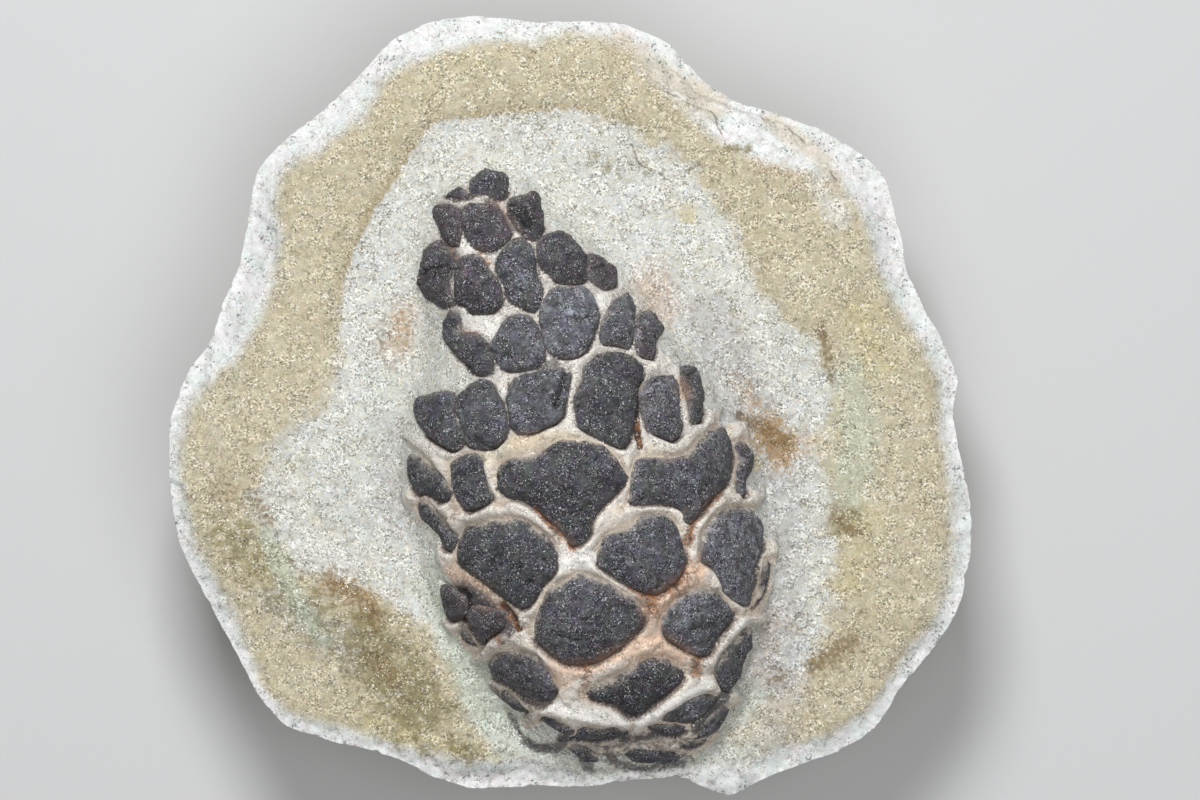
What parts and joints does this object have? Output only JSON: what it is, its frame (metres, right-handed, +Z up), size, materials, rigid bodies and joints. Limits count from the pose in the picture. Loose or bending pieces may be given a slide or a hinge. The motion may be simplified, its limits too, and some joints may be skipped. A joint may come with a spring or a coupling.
{
  "type": "fossil pine cone",
  "caption": "Fossil conifer cone lying in half of a split stone nodule: dark scale ends in a pale raised web, with a broken pale rim round the stone.",
  "frame": {"origin": "on the ground, under the middle of the specimen's box", "axes": "+Z up, out of the split face; +Y towards the cone's tip; +X to the right as seen from above"},
  "size_m": [0.1208, 0.1174, 0.0481],
  "materials": {
    "stone": "matt, sandy grain",
    "scales": "matt, finely granular, almost black"
  },
  "bodies": {
    "root": {"concretion": "stone", "scale_01a": "scales", "scale_02a": "scales", "scale_03a": "scales", "scale_03b": "scales", "scale_03c": "scales", "scale_04a": "scales", "scale_04b": "scales", "scale_04c": "scales", "scale_04d": "scales", "scale_04e": "scales", "scale_05a": "scales", "scale_05b": "scales", "scale_05c": "scales", "scale_05d": "scales", "scale_05e": "scales", "scale_06a": "scales", "scale_06b": "scales", "scale_06c": "scales", "scale_06d": "scales", "scale_06e": "scales", "scale_06f": "scales", "scale_07a": "scales", "scale_07b": "scales", "scale_07c": "scales", "scale_07d": "scales", "scale_07e": "scales", "scale_08a": "scales", "scale_08b": "scales", "scale_08c": "scales", "scale_08d": "scales", "scale_08e": "scales", "scale_09a": "scales", "scale_09b": "scales", "scale_09c": "scales", "scale_09d": "scales", "scale_10a": "scales", "scale_10b": "scales", "scale_10c": "scales", "scale_10d": "scales", "scale_11a": "scales", "scale_11b": "scales", "scale_11c": "scales", "scale_11d": "scales", "scale_11e": "scales", "scale_11f": "scales", "scale_12a": "scales", "scale_12b": "scales", "scale_12c": "scales"}
  },
  "joints": []
}
